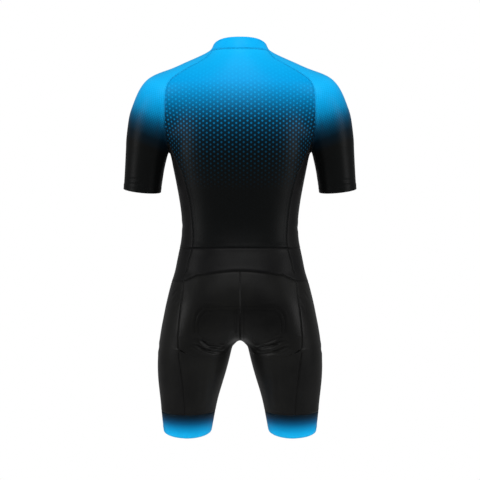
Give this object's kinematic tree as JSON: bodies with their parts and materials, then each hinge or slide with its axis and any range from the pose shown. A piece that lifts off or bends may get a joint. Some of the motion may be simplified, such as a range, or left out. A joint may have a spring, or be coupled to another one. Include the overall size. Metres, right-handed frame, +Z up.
{
  "type": "triathlon suit",
  "caption": "Short-sleeved, short-legged one-piece sports suit with raglan sleeves, stand collar, front zip, side panels, arched seat seam and gripper leg bands, filled out as when worn.",
  "frame": {"origin": "middle of the neck opening, level with the collar seam at the centre back", "axes": "+Z up along the centre line, +X to the wearer's left, +Y to the wearer's back"},
  "size_m": [0.5606, 0.2351, 0.9495],
  "materials": {
    "printed_cloth": "satin knit, blue print fading to black",
    "sleeve_cloth": "satin knit, blue print fading to black",
    "black_cloth": "satin knit",
    "shorts_cloth": "satin knit",
    "collar_cloth": "satin knit",
    "band_cloth": "satin knit, print fading from black to blue",
    "pad_foam": "brushed knit over foam",
    "zip_tape": "woven tape",
    "zip_coil": "moulded nylon coil",
    "zip_metal": "black lacquer"
  },
  "bodies": {
    "suit": {"back_panel": "printed_cloth", "front_panel_left": "printed_cloth", "front_panel_right": "printed_cloth", "side_panel_left": "black_cloth", "side_panel_right": "black_cloth", "sleeve_left": "sleeve_cloth", "sleeve_right": "sleeve_cloth", "collar": "collar_cloth", "back_yoke": "black_cloth", "hip_side_left": "black_cloth", "hip_side_right": "black_cloth", "seat_left": "shorts_cloth", "seat_right": "shorts_cloth", "thigh_side_left": "shorts_cloth", "thigh_side_right": "shorts_cloth", "front_leg_left": "shorts_cloth", "front_leg_right": "shorts_cloth", "leg_band_left": "band_cloth", "leg_band_right": "band_cloth", "seat_pad": "pad_foam", "zip_tape_left": "zip_tape", "zip_tape_right": "zip_tape", "zip_coil": "zip_coil", "zip_slider": "zip_metal"},
    "pull_tab": {"zip_pull": "zip_metal"}
  },
  "joints": [
    {"name": "pull_hinge", "type": "hinge", "parent": "suit", "child": "pull_tab", "pos_m": [0, -0.07274, -0.02936], "axis": [-1, 0, 0], "range_deg": [0, 150]}
  ]
}
